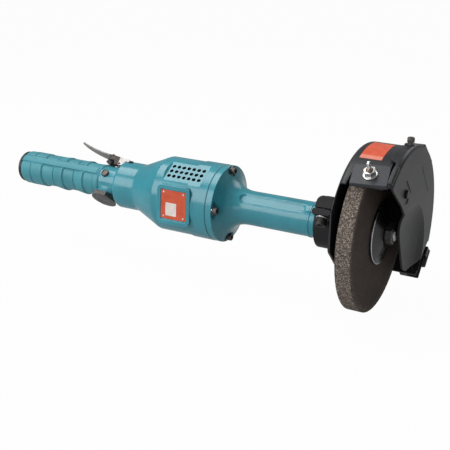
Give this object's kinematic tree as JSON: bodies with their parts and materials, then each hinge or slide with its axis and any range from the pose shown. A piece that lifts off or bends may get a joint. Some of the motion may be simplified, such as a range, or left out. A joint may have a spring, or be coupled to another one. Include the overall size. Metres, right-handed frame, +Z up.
{
  "type": "horizontal air grinder",
  "caption": "Straight pneumatic grinder with a lever throttle, vane motor, long nose and an abrasive wheel under a turning guard with a hinged cover.",
  "frame": {"origin": "centre of the air inlet's mouth", "axes": "+X along the tool from the inlet to the wheel, -Y out of the nameplate, +Z up; the lever and the guard lean 42 degrees back from +Z"},
  "size_m": [0.5968, 0.2188, 0.2248],
  "materials": {
    "teal_paint": "satin paint on cast alloy",
    "teal_grip": "satin moulded grip",
    "black_paint": "satin black paint",
    "black_steel": "black oxide",
    "bright_steel": "plated",
    "ground_steel": "ground",
    "motor_iron": "machined",
    "brass": "turned",
    "seal": "matte",
    "vane_fibre": "laminate",
    "felt": "felt",
    "blotter_paper": "card",
    "abrasive": "bonded grit",
    "orange_plate": "satin paint",
    "orange_strip": "film"
  },
  "bodies": {
    "tool_body": {"handle_casting": "teal_paint", "grip_sleeve": "teal_grip", "inlet_bushing": "black_steel", "inlet_screen": "bright_steel", "valve_bushing": "brass", "valve_cap": "black_steel", "valve_cap_seal": "seal", "lever_pin": "black_steel", "oil_plug": "black_steel", "motor_housing": "teal_paint", "nameplate": "orange_plate", "nameplate_rivets": "bright_steel", "housing_gasket": "seal", "flange_screws": "black_steel", "lock_washers": "bright_steel", "rear_end_plate": "motor_iron", "front_end_plate": "motor_iron", "motor_cylinder": "motor_iron", "exhaust_silencer": "felt", "rear_bearing_outer": "ground_steel", "front_bearing_outer": "ground_steel", "nose_housing": "teal_paint", "spindle_bearing_outer": "ground_steel", "bearing_cap": "ground_steel"},
    "spindle_body": {"rotor": "ground_steel", "vanes": "vane_fibre", "rear_bearing_inner": "ground_steel", "front_bearing_inner": "ground_steel", "spindle_bearing_inner": "ground_steel", "drive_coupling": "ground_steel", "spindle": "ground_steel", "inner_flange": "black_paint", "outer_flange": "black_paint", "blotters": "blotter_paper", "grinding_wheel": "abrasive", "spindle_nut": "black_steel"},
    "lever_body": {"throttle_lever": "bright_steel", "lock_pin": "black_steel"},
    "lock_body": {"lock_tab": "black_paint"},
    "valve_body": {"valve_stem": "ground_steel", "valve_spring": "ground_steel"},
    "dial_body": {"regulator_dial": "black_steel"},
    "guard_body": {"guard_back_plate": "black_paint", "guard_collar": "black_paint", "clamp_screw": "black_steel", "clamp_washer": "bright_steel", "guard_drum": "black_paint", "guard_label": "orange_strip", "tongue_stud": "bright_steel", "tongue_washer": "bright_steel", "tongue_nut": "bright_steel", "cover_screw": "black_steel", "hinge_leaf": "black_paint", "hinge_pin": "black_steel"},
    "tongue_body": {"tongue_plate": "black_paint"},
    "cover_body": {"guard_cover": "black_paint", "cover_stiffener": "black_paint", "stiffener_screw": "black_steel"}
  },
  "joints": [
    {"name": "spindle_spin", "type": "hinge", "parent": "tool_body", "child": "spindle_body", "pos_m": [0.5, 0, 0], "axis": [1, 0, 0], "continuous": true},
    {"name": "lever_swing", "type": "hinge", "parent": "tool_body", "child": "lever_body", "pos_m": [0.1735, 0.01907, 0.02118], "axis": [0, -0.7431, 0.6691], "range_deg": [0, 7], "stiffness_Nm_per_rad": 2, "springref_deg": -5.73},
    {"name": "lock_swing", "type": "hinge", "parent": "lever_body", "child": "lock_body", "pos_m": [0.1441, 0.02181, 0.02423], "axis": [0, 0.7431, -0.6691], "range_deg": [0, 60]},
    {"name": "valve_slide", "type": "slide", "parent": "tool_body", "child": "valve_body", "axis": [0, -0.6691, -0.7431], "range_m": [0, 0.00196]},
    {"name": "dial_turn", "type": "hinge", "parent": "tool_body", "child": "dial_body", "pos_m": [0.157, -0.01626, 0.01626], "axis": [0, -0.7071, 0.7071], "range_deg": [0, 90]},
    {"name": "guard_turn", "type": "hinge", "parent": "tool_body", "child": "guard_body", "pos_m": [0.5, 0, 0], "axis": [1, 0, 0], "continuous": true},
    {"name": "tongue_slide", "type": "slide", "parent": "guard_body", "child": "tongue_body", "axis": [-0.0872, 0.8539, 0.5131], "range_m": [-0.008, 0.003]},
    {"name": "cover_swing", "type": "hinge", "parent": "guard_body", "child": "cover_body", "pos_m": [0.592, 0.10985, -0.0545], "axis": [0, 0.6691, 0.7431], "range_deg": [0, 100]}
  ],
  "couplings": [
    {"joint": "lock_swing", "follows": "lever_swing", "ratio": 8.5714},
    {"joint": "valve_slide", "follows": "lever_swing", "m_per_rad": 0.016}
  ]
}
